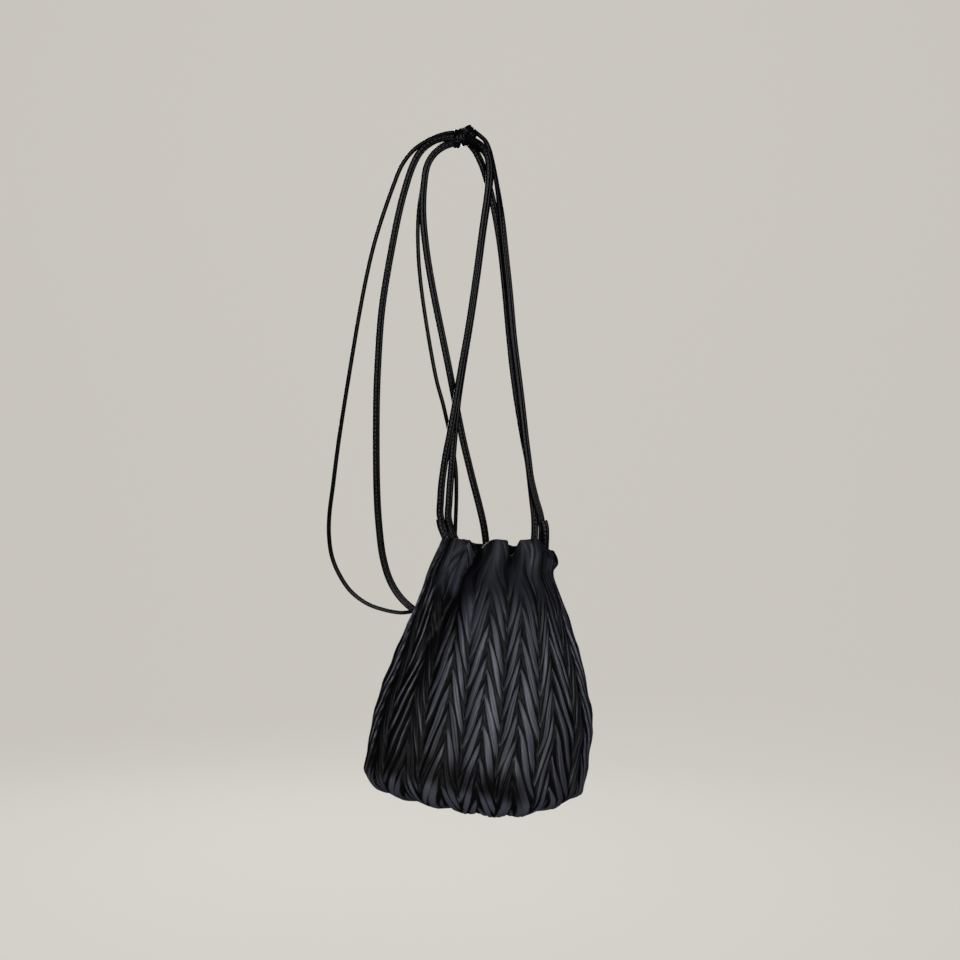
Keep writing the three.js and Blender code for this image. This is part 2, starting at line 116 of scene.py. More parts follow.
def piece_from(name, places, faces, material):
    """A smooth-shaded mesh piece of the purse."""
    mesh = bpy.data.meshes.new(name)
    mesh.from_pydata([tuple(place) for place in places], [], faces)
    mesh.materials.append(material)
    mesh.polygons.foreach_set("use_smooth", [True] * len(mesh.polygons))
    mesh.validate()
    mesh.update()
    piece = bpy.data.objects.new(name, mesh)
    bpy.context.scene.collection.objects.link(piece)
    return piece


def mark(piece, name, values):
    """Stores one number for each corner point of a piece, for its material to read."""
    layer = piece.data.attributes.new(name, "FLOAT", "POINT")
    layer.data.foreach_set("value", np.asarray(values, np.float32).ravel())


def flat_cord(
    name, centres, facing, material, width=CORD_WIDTH, thickness=CORD_THICKNESS,
    closed=False, twist=0, start_turn=0,
):
    """A stitched flat cord along its centres; facing is the way its broad side looks at each place.
    It sways by the twist, from a start that the length of its name sets.
    It can start turned, and then it untwists further on."""
    count = len(centres)
    if closed:
        along = unit(np.roll(centres, -1, axis=0) - np.roll(centres, 1, axis=0))
    else:
        along = unit(np.gradient(centres, axis=0))
    facing = np.broadcast_to(np.asarray(facing, float), (count, 3))
    facing = unit(facing - along * np.sum(facing * along, axis=1, keepdims=True))
    side = np.cross(along, facing)
    run = np.concatenate([[0], np.cumsum(np.linalg.norm(np.diff(centres, axis=0), axis=1))])
    waves = [size * np.sin(run * pace + start * len(name)) for pace, size, start in SWAY_WAVES]
    lean = twist * sum(waves) / sum(size for _, size, _ in SWAY_WAVES)
    lean = lean + start_turn * (1 - eased(UNTWIST_START, UNTWIST_END, run))
    side, facing = (
        side * np.cos(lean)[:, None] + facing * np.sin(lean)[:, None],
        facing * np.cos(lean)[:, None] - side * np.sin(lean)[:, None],
    )
    turn = 2 * math.pi * np.arange(CORD_CORNERS) / CORD_CORNERS
    across = np.cos(turn)
    roll = (np.abs(across) - ROLL_MIDDLE) / (1 - ROLL_MIDDLE)
    height = np.sign(np.round(np.sin(turn), 6)) * np.sqrt(np.clip(1 - roll ** 2, 0, 1))
    in_groove = np.abs(across) < GROOVE_SHARE
    beat = (run % STITCH_PITCH) / STITCH_PITCH
    stitch = np.sqrt(np.clip(np.sin(math.pi * np.clip(beat / STITCH_SHARE, 0, 1)), 0, 1))
    thread = stitch[:, None] * in_groove[None, :]
    lift = height[None, :] * thickness / 2 + np.sign(height)[None, :] * thread * STITCH_RISE
    places = (
        centres[:, None, :]
        + side[:, None, :] * (across * width / 2)[None, :, None]
        + facing[:, None, :] * lift[:, :, None]
    )
    rings = count if closed else count - 1
    faces = []
    for ring in range(rings):
        here = ring * CORD_CORNERS
        there = ((ring + 1) % count) * CORD_CORNERS
        for k in range(CORD_CORNERS):
            m = (k + 1) % CORD_CORNERS
            faces.append((here + k, here + m, there + m, there + k))
    if not closed:
        faces.append(tuple(range(CORD_CORNERS - 1, -1, -1)))
        faces.append(tuple((count - 1) * CORD_CORNERS + k for k in range(CORD_CORNERS)))
    piece = piece_from(name, places.reshape(-1, 3), faces, material)
    mark(piece, "thread", thread)
    return piece


PEBBLE_SMOOTHNESS = 0.6
CLOUD_DETAIL = 4
CLOUD_ROUGHNESS = 0.6
SCUFFS_PER_METRE = 420
SCUFF_DETAIL = 3
SCUFF_SHARE = 0.45
CLOUD_RANGE = (0.3, 0.7)


def leather_grain():
    """Fine pebbled grain with soft cloudy wear, as a shader group: a height for the bump and a mask."""
    group = bpy.data.node_groups.new("leather grain", "ShaderNodeTree")
    for label in ("Pebbles per metre", "Clouds per metre"):
        group.interface.new_socket(label, in_out="INPUT", socket_type="NodeSocketFloat")
    for label in ("Height", "Clouds"):
        group.interface.new_socket(label, in_out="OUTPUT", socket_type="NodeSocketFloat")
    given = group.nodes.new("NodeGroupInput")
    result = group.nodes.new("NodeGroupOutput")
    link = group.links.new
    place = group.nodes.new("ShaderNodeTexCoord").outputs["Object"]
    pebbles = group.nodes.new("ShaderNodeTexVoronoi")
    pebbles.feature = "SMOOTH_F1"
    pebbles.inputs["Smoothness"].default_value = PEBBLE_SMOOTHNESS
    link(place, pebbles.inputs["Vector"])
    link(given.outputs["Pebbles per metre"], pebbles.inputs["Scale"])
    clouds = group.nodes.new("ShaderNodeTexNoise")
    clouds.inputs["Detail"].default_value = CLOUD_DETAIL
    clouds.inputs["Roughness"].default_value = CLOUD_ROUGHNESS
    link(place, clouds.inputs["Vector"])
    link(given.outputs["Clouds per metre"], clouds.inputs["Scale"])
    scuffs = group.nodes.new("ShaderNodeTexNoise")
    scuffs.inputs["Scale"].default_value = SCUFFS_PER_METRE
    scuffs.inputs["Detail"].default_value = SCUFF_DETAIL
    link(place, scuffs.inputs["Vector"])
    blend = group.nodes.new("ShaderNodeMath")
    blend.operation = "MULTIPLY_ADD"
    blend.inputs[1].default_value = SCUFF_SHARE
    link(scuffs.outputs["Fac"], blend.inputs[0])
    link(pebbles.outputs["Distance"], blend.inputs[2])
    link(blend.outputs[0], result.inputs["Height"])
    link(clouds.outputs["Fac"], result.inputs["Clouds"])
    return group


grain_group = leather_grain()


def tone_ramp(nodes, low, high):
    """A ramp that stretches the range from low to high over 0 to 1."""
    ramp = nodes.new("ShaderNodeMapRange")
    ramp.inputs["From Min"].default_value = low
    ramp.inputs["From Max"].default_value = high
    return ramp


def colour_mix(nodes, first, second):
    """A mix from the first colour at 0 to the second at 1."""
    mix = nodes.new("ShaderNodeMix")
    mix.data_type = "RGBA"
    mix.inputs["A"].default_value = first
    mix.inputs["B"].default_value = second
    return mix


def grained(material, pebbles, clouds, roughness, strength, depth):
    """Gives a leather its uneven roughness and the relief of its grain, and returns the grain."""
    nodes = material.node_tree.nodes
    link = material.node_tree.links.new
    surface = nodes["Principled BSDF"]
    grain = nodes.new("ShaderNodeGroup")
    grain.node_tree = grain_group
    grain.inputs["Pebbles per metre"].default_value = pebbles
    grain.inputs["Clouds per metre"].default_value = clouds
    rough = tone_ramp(nodes, *CLOUD_RANGE)
    rough.inputs["To Min"].default_value = roughness[0]
    rough.inputs["To Max"].default_value = roughness[1]
    link(grain.outputs["Clouds"], rough.inputs["Value"])
    link(rough.outputs["Result"], surface.inputs["Roughness"])
    bump = nodes.new("ShaderNodeBump")
    bump.inputs["Strength"].default_value = strength
    bump.inputs["Distance"].default_value = depth
    link(grain.outputs["Height"], bump.inputs["Height"])
    link(bump.outputs["Normal"], surface.inputs["Normal"])
    return grain


CORD_SPECULAR = 0.05
CORD_PEBBLES = 1500
CORD_CLOUDS = 130
CORD_ROUGHNESS = (0.16, 0.26)
CORD_GRAIN_STRENGTH = 0.1
CORD_GRAIN_DEPTH = 0.15 * MM
WEAR_RANGE = (0.42, 0.72)


def cord_leather_material():
    """Nearly black leather with cloudy wear, and a thread that is hardly lighter."""
    material = bpy.data.materials.new("cord_leather")
    material.use_nodes = True
    nodes = material.node_tree.nodes
    link = material.node_tree.links.new
    surface = nodes["Principled BSDF"]
    surface.inputs["Specular IOR Level"].default_value = CORD_SPECULAR
    grain = grained(
        material, CORD_PEBBLES, CORD_CLOUDS, CORD_ROUGHNESS, CORD_GRAIN_STRENGTH, CORD_GRAIN_DEPTH
    )
    wear = tone_ramp(nodes, *WEAR_RANGE)
    link(grain.outputs["Clouds"], wear.inputs["Value"])
    worn = colour_mix(nodes, CORD_DARK, CORD_WORN)
    link(wear.outputs["Result"], worn.inputs["Factor"])
    thread = nodes.new("ShaderNodeAttribute")
    thread.attribute_name = "thread"
    sewn = colour_mix(nodes, CORD_DARK, THREAD_COLOUR)
    link(worn.outputs["Result"], sewn.inputs["A"])
    link(thread.outputs["Fac"], sewn.inputs["Factor"])
    link(sewn.outputs["Result"], surface.inputs["Base Color"])
    return material


cord_leather = cord_leather_material()
TO_FRONT = (0, -1, 0)
STRAP_TWIST = math.radians(9)

LEFT_FRONT_ROUTE = [
    (-10.6, -4.4, 1.6), (-1.9, -6.5, -3.2), (3.5, -7, -8.4), (6.3, -7.2, -16.4), (6.9, -7.5, -25.9),
    (5.9, -8, -40.1), (1.7, -9, -70.1), (-3.2, -10.1, -107.1), (-9, -11.6, -146.5),
    (-14.5, -13, -177.9), (-18.8, -14.5, -203.8), (-22.9, -16, -227.3), (-27.3, -17.2, -250),
    (-30.1, -18, -269.5), (-31.1, -18.5, -283.5), (-31.4, -18.8, -295.2), (-28.3, -19, -305.3),
    (-24.3, -19, -313.1), (-22.1, -19, -320.1), (-21.3, -19, -327.9),
]
left_front_line = smooth_route(LEFT_FRONT_ROUTE)
left_front = flat_cord("left_front_strap", left_front_line, TO_FRONT, cord_leather, twist=STRAP_TWIST)
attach(left_front, "root")
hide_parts("strap_left_front")


# Left back strap
# The second cord of the left pair, the same stitched flat leather as the first.
# It runs close behind the front one, from the knot into the left corner of the mouth.
LEFT_BACK_ROUTE = [
    (-8.3, -1.5, -1.1), (-1.2, -2.6, -4.9), (4.3, -3.2, -10.5), (7.2, -3.6, -18.1),
    (7.6, -4, -27.6), (6.4, -4.5, -41.1), (2, -5.5, -71.2), (-2.8, -6.6, -107.5),
    (-8.5, -8, -146.2), (-13.7, -9.2, -177.7), (-17.6, -10.6, -203.6), (-20.1, -12.2, -227.2),
    (-22, -13.6, -249.9), (-23.7, -14.8, -271), (-24.6, -15.6, -285.1), (-25.2, -16, -296.8),
    (-22.8, -15.8, -306.9), (-19.5, -15.7, -314.7), (-17.2, -15.7, -321.7), (-16.4, -15.7, -328),
]
left_back_line = smooth_route(LEFT_BACK_ROUTE)
left_back = flat_cord("left_back_strap", left_back_line, TO_FRONT, cord_leather, twist=STRAP_TWIST)
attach(left_back, "root")
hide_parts("strap_left_back")


# Right outer strap
# A stitched flat leather cord that leaves the top of the knot and bends over the hanging point.
# It runs down the outside of the right pair into the right corner of the mouth.
RIGHT_OUTER_ROUTE = [
    (-5.1, 1, 8), (-0.4, 1.2, 4.3), (3.7, 1.2, 0.3), (6.7, 1.2, -6), (9.1, 1, -15.1),
    (12.8, -0.4, -34.2), (16.3, -3.4, -59.1), (19.3, -5.4, -86.9), (22.7, -7, -120.1),
    (25.7, -8.6, -154.1), (28.6, -9.8, -178.5), (31.4, -11, -201.3), (33.7, -12.6, -221.7),
    (35.4, -13.8, -237.4), (37.1, -14.6, -250.7), (39.1, -15.4, -266.3), (43, -16.2, -282.7),
    (46.4, -16.8, -294.4), (48, -17, -304.6), (47.8, -17.2, -313.1), (47.2, -17.4, -320.1),
    (46.6, -17.6, -327.9),
]
RIGHT_OUTER_TURN = math.radians(78)
right_outer_line = smooth_route(RIGHT_OUTER_ROUTE)
right_outer = flat_cord(
    "right_outer_strap", right_outer_line, TO_FRONT, cord_leather,
    twist=STRAP_TWIST, start_turn=RIGHT_OUTER_TURN,
)
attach(right_outer, "root")
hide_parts("strap_right_outer")


# Right inner strap
# The second cord of the right pair, the same stitched flat leather.
# It leaves the knot from below and runs behind the outer one into the right corner of the mouth.
RIGHT_INNER_ROUTE = [
    (-9.9, 2.5, -0.3), (-4.2, 2.2, -7.5), (1.5, 1.8, -19.4), (5.3, 1.4, -31.4), (9.1, 0.8, -45.7),
    (13.2, 0, -66.4), (16.5, -0.8, -88.6), (19.6, -2.4, -118.8), (22.7, -4.2, -153.7),
    (25.2, -5.4, -178.2), (28.2, -6.8, -201.1), (31.4, -8.4, -221.6), (34.2, -9.6, -237.3),
    (37.3, -10.8, -253), (39.1, -11.7, -267.9), (40.8, -12.5, -283.5), (42.1, -13.6, -295.3),
    (42.4, -14.4, -307), (41.8, -15.2, -317.1), (41, -15.8, -328),
]
right_inner_line = smooth_route(RIGHT_INNER_ROUTE)
right_inner = flat_cord("right_inner_strap", right_inner_line, TO_FRONT, cord_leather, twist=STRAP_TWIST)
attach(right_inner, "root")
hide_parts("strap_right_inner")


# Outer slack loop
# The slack of one cord, hanging from the left of the knot in a long loop that swings out to the left.
# It shows its narrow edge to the front, passes behind the pouch and comes back up to the knot.
OUTER_LOOP_ROUTE = [
    (-14.6, 3.6, 7.2), (-19.4, 5.3, 7.7), (-27.4, 5.3, 6.9), (-36.1, 5.3, 4.2),
    (-44.8, 5.3, -0.2), (-53.9, 5.3, -6.9),
    (-62.3, 5.2, -18), (-69, 5, -33.9), (-81.2, 5, -69.6), (-87.6, 5, -93.4), (-94.9, 5.2, -129),
    (-101.1, 5.6, -164.7), (-112.5, 6.4, -236.1), (-117.1, 6.8, -271.9), (-120.1, 7.2, -295.7),
    (-120.4, 7.4, -312.4), (-118, 7.6, -329), (-112.1, 7.8, -343.3), (-103, 8, -356.5),
    (-90.3, 8.2, -366), (-76, 8.7, -371.2), (-61.7, 9, -373.3), (-48.1, 9.2, -370.2),
    (-35.4, 9.2, -362.3), (-21.9, 9.1, -333.9), (-20.6, 8.6, -318), (-19.8, 8.2, -299.7),
    (-19.2, 7.8, -277.4), (-20, 7.6, -256), (-29, 7.2, -210.7), (-35.5, 7, -186.1),
    (-47.1, 6.6, -115.4), (-49.7, 6.4, -82.1), (-49.3, 6.2, -56.7), (-46.8, 6, -37.7),
    (-43.6, 5.8, -19.1), (-36.9, 5.5, -7.7), (-28.6, 5.3, -1.2), (-19.4, 5.3, 2), (-14.6, 3.6, 3.2),
]
outer_loop_line = smooth_route(OUTER_LOOP_ROUTE)
outer_loop_along = unit(np.gradient(outer_loop_line, axis=0))
outer_loop_facing = np.cross(outer_loop_along, np.array([0, 1, 0]))
outer_loop = flat_cord("outer_slack_loop", outer_loop_line, outer_loop_facing, cord_leather)
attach(outer_loop, "root")
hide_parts("slack_loop_outer")


# Inner slack loop
# The slack of the other cord, hanging beside the first loop with its broad side to the front.
# It passes behind the pouch, shows above the rim and comes back up to the knot.
INNER_LOOP_ROUTE = [
    (-19.4, 0.5, 3.3), (-27.3, 0.5, 2.8), (-35.2, 0.6, 0.8), (-42.3, 0.8, -3.2), (-48.3, 1, -9.3),
    (-53.7, 1.2, -19.5), (-58.8, 1.4, -34.5), (-64.8, 1.6, -57.4), (-75.1, 2, -112),
    (-78.6, 2.2, -137.3), (-81, 2.4, -171.3), (-82.4, 2.6, -208.5), (-82.1, 3.2, -275.8),
    (-80.3, 3.6, -305.9), (-77.2, 4, -329.7), (-71.9, 4.2, -347.2), (-64.6, 4.3, -359.5),
    (-55.6, 4.4, -368.6), (-45.3, 4.4, -375.3), (-34.5, 4.4, -377.8), (-22.6, 4.4, -375.7),
    (-12.3, 4.4, -369.4), (-3.6, 4.4, -358.3), (2, 4.4, -343.2), (4.5, 4.4, -325.8),
    (3, 4.2, -306.7), (-7.8, 3.6, -261.6), (-14.2, 3.2, -234.6), (-25.6, 2.4, -176.9),
    (-38.7, 1.6, -112), (-43.4, 1.2, -82), (-45.6, 1, -55.9), (-44.7, 0.8, -33.8),
    (-42, 0.6, -18.8), (-36.5, 0.5, -9.9), (-28.9, 0.5, -4.2), (-19.4, 0.5, -1),
]
LOOP_TWIST = math.radians(5)
inner_loop_line = smooth_route(INNER_LOOP_ROUTE)
inner_loop = flat_cord("inner_slack_loop", inner_loop_line, TO_FRONT, cord_leather, twist=LOOP_TWIST)
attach(inner_loop, "root")
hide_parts("slack_loop_inner")


# Knot
# The overhand knot that gathers all the cords: turns of the same flat leather pulled tight
# round the bundle, two of them slanting over its top beside the hanging point.
KNOT_STEPS = 64
KNOT_SWAY = 0.5
KNOT_TURNS = [
    # x, y, z of the middle, half-height, half-depth, lean about Y and about Z in degrees, width, thickness
    (-18.5, 1.0, 1.9, 6.2, 6.2, 6, 4, 5.2, 2.9),
    (-13.6, 0.4, 3.2, 5.9, 6.2, -9, -8, 5.2, 2.9),
    (-11.6, 0.5, 6.9, 5.0, 5.6, 41, 6, 5.6, 4.0),
    (-7.0, 0.4, 3.6, 4.6, 5.0, 41, -6, 5.0, 3.8),
]


def knot_turn(index, row):
    """One ring of cord round the bundle, leaning a little, with its broad side looking outwards."""
    x, y, z, half_height, half_depth, lean_y, lean_z, width, thickness = row
    around = 2 * math.pi * np.arange(KNOT_STEPS) / KNOT_STEPS
    sway = KNOT_SWAY * np.sin(2 * around + index)
    ring = np.stack([sway, half_depth * np.sin(around), half_height * np.cos(around)], axis=1)
    look = np.stack([0 * around, half_height * np.sin(around), half_depth * np.cos(around)], axis=1)
    cy, sy = math.cos(math.radians(lean_y)), math.sin(math.radians(lean_y))
    cz, sz = math.cos(math.radians(lean_z)), math.sin(math.radians(lean_z))
    turn_y = np.array([[cy, 0, sy], [0, 1, 0], [-sy, 0, cy]])
    turn_z = np.array([[cz, -sz, 0], [sz, cz, 0], [0, 0, 1]])
    turn = turn_z @ turn_y
    places = (ring @ turn.T + np.array([x, y, z])) * MM
    return flat_cord(
        f"knot_turn_{index}", places, look @ turn.T, cord_leather, width * MM, thickness * MM, closed=True
    )


def joined(name, pieces):
    """Several pieces made into one, with its own name."""
    with bpy.context.temp_override(
        active_object=pieces[0], object=pieces[0], selected_objects=pieces, selected_editable_objects=pieces
    ):
        bpy.ops.object.join()
    pieces[0].name = name
    return pieces[0]


knot_turns = [knot_turn(index, row) for index, row in enumerate(KNOT_TURNS)]
CORE_ROUTE = [(-17.5, 1.0, 2.2), (-13, 0.8, 3.4), (-9.6, 0.6, 4.6), (-6.6, 0.5, 2.8)]
CORE_WIDTH = 9.0 * MM
CORE_THICKNESS = 8.6 * MM
knot_core = flat_cord(
    "knot_core", smooth_route(CORE_ROUTE), TO_FRONT, cord_leather, CORE_WIDTH, CORE_THICKNESS
)
knot = joined("knot", knot_turns + [knot_core])
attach(knot, "root")
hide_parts("strap_knot")


# Folded end of the left cord
# The end of the cord brought back through the corner of the mouth and laid flat over the strap.
# It is a little wider than the cord, cut square and stitched down along its middle.
LEFT_END_WIDTH = 6.8 * MM
END_THICKNESS = 2.2 * MM
LEFT_END_ROUTE = [
    (-31.2, -22.0, -298.2), (-30.4, -22.0, -303.0), (-28.4, -22.0, -308.5), (-25.6, -21.6, -315.0),
]
left_end = flat_cord(
    "left_cord_end", smooth_route(LEFT_END_ROUTE), TO_FRONT, cord_leather, LEFT_END_WIDTH, END_THICKNESS
)
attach(left_end, "root")
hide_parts("cord_end_left")


# Folded end of the right cord
# The end of the other cord, brought back through the right corner of the mouth in the same way.
# It lies flat beside the strap, cut square and stitched along its middle.
RIGHT_END_ROUTE = [
    (49.2, -20.2, -299.6), (50.4, -20.4, -304.4), (50.7, -20.6, -310.4), (50.2, -20.2, -324.0),
]
right_end = flat_cord(
    "right_cord_end", smooth_route(RIGHT_END_ROUTE), TO_FRONT, cord_leather, CORD_WIDTH, END_THICKNESS
)
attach(right_end, "root")
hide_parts("cord_end_right")


# Pouch
# One soft bag of thin black faux leather, heat-set into overlapping chevron pleats, open at the top.
# The mouth is drawn in by the cords into gathers, and the base is turned under and rounded.

# Sections from the rim down, in millimetres: height, middle x, half-width, middle y, half-depth, squareness,
# spread of the chevrons, tilt, lift on the left, lift on the right.
POUCH_SECTIONS = np.array([
    (-314.5, 11.1, 38.0, -18.0, 19.0, 0.00, 0.50, 0, 0, 0),
    (-323.0, 10.9, 41.7, -19.5, 20.5, 0.00, 0.45, 0, 0, 0),
    (-339.0, 6.8, 46.4, -23.0, 24.0, 0.00, 0.36, 0, 0, 0),
    (-352.0, 7.3, 52.2, -26.5, 27.5, 0.00, 0.24, 0, 0, 0),
    (-366.0, 7.0, 57.9, -29.5, 30.5, 0.01, 0.10, 0, 0, 0),
    (-382.0, 6.2, 63.6, -32.0, 33.0, 0.01, -0.01, 0, 0, 0),
    (-396.0, 5.3, 68.2, -34.0, 35.0, 0.02, -0.11, 0, 0, 0),
    (-412.0, 4.3, 73.8, -36.0, 37.0, 0.02, -0.18, 0, 0, 0),
    (-428.0, 2.6, 78.9, -38.0, 39.0, 0.03, -0.26, 0, 0, 0),
    (-445.0, 1.7, 83.2, -39.6, 40.6, 0.03, -0.30, 0, 0, 0),
    (-458.0, 0.9, 84.8, -40.4, 41.4, 0.04, -0.33, 0, 0, 0),
    (-473.0, -1.0, 84.8, -40.8, 41.8, 0.04, -0.34, 0, 0, 0),
    (-487.0, -2.9, 85.0, -40.8, 41.6, 0.04, -0.34, 2, 0, 2),
    (-499.0, -3.0, 83.6, -40.8, 39.6, 0.04, -0.33, 5, 0, 6),
    (-509.0, -2.2, 79.8, -40.8, 35.6, 0.04, -0.30, 8, 1, 12),
    (-516.0, -1.6, 72.0, -40.8, 29.6, 0.03, -0.26, 10, 2, 17),
    (-520.0, -1.0, 60.0, -40.8, 21.6, 0.02, -0.22, 11, 3, 19),
])
# Gathers at the mouth: angle from the front, its change in degrees per millimetre down,
# spread to its left and right in degrees, depth, reach down, dip of the rim.
GATHERS = [
    (-88, 0, 18, 18, 3.4, 44, 0), (-54, -0.10, 18, 22, 3.2, 90, 0), (-25, -0.22, 6, 24, -10.0, 130, 4),
    (2, 0, 14, 12, 2.0, 60, 0), (22, 0, 7, 9, -7.0, 48, 10), (52, 0, 18, 30, 2.4, 60, 0),
    (74, 0, 18, 14, 2.0, 50, 2.5), (93, 0, 24, 30, 6.0, 46, 6), (94, 0, 16, 12, 3.2, 36, 1),
    (94, 0, 42, 60, 0, 30, 6), (124, 0, 15, 15, -5.0, 80, 3), (152, 0, 12, 12, -3.5, 55, 2),
    (180, 0, 14, 14, -5.0, 90, 3), (207, 0, 12, 12, -4.0, 60, 1), (236, 0, 15, 15, -5.0, 80, 1),
    (180, 0, 70, 50, 0, 30, 6),
]
RIM_DIP_REACH = 30.0
PROBE_DOWN = 0.8
PROBE_ROUND = 0.0006

section_steps = np.diff(POUCH_SECTIONS[:, 0]), np.diff((POUCH_SECTIONS[:, 2] + POUCH_SECTIONS[:, 4]) / 2)
section_at = np.concatenate([[0], np.cumsum(np.hypot(*section_steps))])
WALL_LENGTH = section_at[-1]


def section_values(length):
    """All the section sizes at a length down the wall, on smooth curves through the rows."""
    last = len(POUCH_SECTIONS) - 1
    i = np.clip(np.searchsorted(section_at, length, side="right") - 1, 0, last - 1)
    share = ((length - section_at[i]) / (section_at[i + 1] - section_at[i]))[..., None]
    above = POUCH_SECTIONS[np.clip(i - 1, 0, last)]
    here = POUCH_SECTIONS[i]
    below = POUCH_SECTIONS[i + 1]
    further = POUCH_SECTIONS[np.clip(i + 2, 0, last)]
    square = share ** 2
    cube = share ** 3
    value = (
        here * (2 * cube - 3 * square + 1)
        + (below - above) / 2 * (cube - 2 * square + share)
        + below * (3 * square - 2 * cube)
        + (further - here) / 2 * (cube - square)
    )
    return np.moveaxis(value, -1, 0)


def plain_wall(girth, length):
    """Points of the plain bag, in millimetres, and their angle round it from the front."""
    z, x, half_width, y, half_depth, square, spread, tilt, lift_left, lift_right = section_values(length)
    angle = 2 * math.pi * girth + spread / 2 * np.sin(4 * math.pi * girth)
    sine = np.sin(angle)
    across = (sine + square * np.sin(3 * angle)) / (1 - square)
    forward = (np.cos(angle) - square * np.cos(3 * angle)) / (1 - square)
    lift = np.where(sine < 0, lift_left, lift_right)
    places = np.stack(
        [x + half_width * across, y - half_depth * forward, z - tilt * sine + lift * sine ** 2], axis=-1
    )
    return places, angle


def wall_directions(surface, girth, length):
    """The way out of a wall at each place."""
    low = np.minimum(length + PROBE_DOWN, WALL_LENGTH)
    high = np.maximum(length - PROBE_DOWN, 0)
    down = surface(girth, low) - surface(girth, high)
    round_it = surface(girth + PROBE_ROUND, length) - surface(girth - PROBE_ROUND, length)
    return unit(np.cross(down, round_it))


def gathered_wall(girth, length):
    """The plain bag drawn in at the mouth."""
    places, angle = plain_wall(girth, length)
    outward = wall_directions(lambda g, l: plain_wall(g, l)[0], girth, length)
    push = np.zeros_like(length)
    degrees = np.degrees(angle)
    for middle, drift, left, right, depth, reach, dip in GATHERS:
        away = (degrees - middle - drift * length + 180) % 360 - 180
        spread = np.where(away < 0, left, right)
        bump = np.where(np.abs(away) < spread, np.cos(math.pi / 2 * away / spread) ** 2, 0)
        push = push + depth * bump * (1 - eased(0, reach, length))
        places[..., 2] -= dip * bump * (1 - eased(0, RIM_DIP_REACH, length))
    return places + outward * push[..., None]


def near_base(start, end, length):
    """Rises from 0 to 1 between two heights above the foot of the wall, in millimetres along it."""
    return eased(WALL_LENGTH - start, WALL_LENGTH - end, length)


def signed_girth(girth):
    """The share of the girth counted from the front: above 0 to the right, below 0 to the left."""
    return (girth + 0.5) % 1 - 0.5


# No two pleats are of quite the same strength, breadth, place, gloss or crease.
CHEVRONS = 16
PLEAT_PITCH = 21.5
SPARE_PLEATS = 10
FIRST_PLEAT = 5
PLEAT_COUNT = int(WALL_LENGTH / PLEAT_PITCH) + SPARE_PLEATS
EACH_PLEAT = (PLEAT_COUNT, 2 * CHEVRONS)
WAVES = 10
pleat_luck = np.random.default_rng(11)
pleat_strength = pleat_luck.uniform(0.65, 1.25, EACH_PLEAT)
pleat_breadth = pleat_luck.uniform(0.80, 1.14, EACH_PLEAT)
pleat_shift = pleat_luck.uniform(-0.11, 0.11, EACH_PLEAT)
pleat_gloss = pleat_luck.uniform(0.5, 1.0, EACH_PLEAT)
wave_round = pleat_luck.integers(1, 7, WAVES)
wave_down = 2 * pleat_luck.uniform(0.012, 0.05, WAVES)
wave_start = pleat_luck.uniform(0, 2 * math.pi, WAVES)
chevron_scallop = pleat_luck.uniform(0.5, 1.2, CHEVRONS)
leaf_crease_at = pleat_luck.uniform(-0.6, 0.5, EACH_PLEAT)
leaf_crease_depth = pleat_luck.uniform(0.0, 0.6, EACH_PLEAT)
PLEAT_WAVES = range(0, 5)
DENT_WAVES = range(5, 10)
WAVER_REACH = 1.8


def waver(girth, length, waves):
    """A gentle seeded unevenness between -1 and 1, made of some of the waves."""
    total = 0
    for k in waves:
        turn = 2 * math.pi * girth * wave_round[k] + length * wave_down[k] + wave_start[k]
        total = total + np.sin(turn)
    return total / len(waves)


# The chevrons on the left and right of the bag lie half folded shut: their valley lines are moved
# to one side, their pleats run steeper and the narrow halves lie flatter.
PLEAT_START = 1.5
PLEAT_DROP = 42.0
SIDE_DROP = 0.5
SIDE_FOLDING = 0.2
NARROWING = 1.5
LINE_HAIR = 1e-9
chevron_turn = np.sin(2 * math.pi * (np.arange(CHEVRONS) + 0.5) / CHEVRONS)
valley_at = 0.5 + SIDE_FOLDING * chevron_turn
chevron_drop = PLEAT_DROP * (1 + SIDE_DROP * np.abs(chevron_turn))
half_strength = np.stack([2 * valley_at, 2 - 2 * valley_at], axis=1).ravel() ** NARROWING
half_strength = np.clip(half_strength, 0, 1)


def chevron_half(girth):
    """Which half chevron a place lies on, and how far it is from the ridge line, 0, to the valley line, 1."""
    chevron = np.floor(girth * CHEVRONS + LINE_HAIR)
    within = np.clip(girth * CHEVRONS - chevron, 0, 1)
    chevron = chevron.astype(int) % CHEVRONS
    valley = valley_at[chevron]
    past = within >= valley - LINE_HAIR
    share = np.where(past, (1 - within) / (1 - valley), within / valley)
    return 2 * chevron + past, np.clip(share, 0, 1)


def pleat_fall(girth):
    """How far the pleats have fallen at a place between ridge and valley."""
    half, share = chevron_half(girth)
    return PLEAT_START + chevron_drop[half // 2] * share


# Long creases drawn out of the gathers: half-width, height, strength of the painted highlight along the
# crease, and the way each takes on the wall, as shares of the girth and millimetres below the rim.
CREASES = [
    (0.9, 0.5, 0.75, [(-0.058, 3), (-0.084, 7.5), (-0.097, 13), (-0.106, 17.5)]),
    (0.9, 0.6, 0.85, [(-0.076, 14), (-0.091, 21), (-0.107, 29), (-0.129, 39), (-0.146, 52)]),
    (1.2, 0.6, 0.85, [(-0.057, 5.5), (-0.062, 10), (-0.065, 15), (-0.068, 21), (-0.072, 29), (-0.080, 36.5)]),
    (0.9, 0.4, 0.5, [(-0.172, 6), (-0.185, 12), (-0.190, 22), (-0.205, 31), (-0.220, 44)]),
    (2.4, 0.5, 0.75, [(0.090, 6), (0.089, 24)]),
    (1.6, 0.5, 0.55, [(0.190, 10), (0.205, 18), (0.184, 32)]),
]
CREASE_GIRTH = 370.0
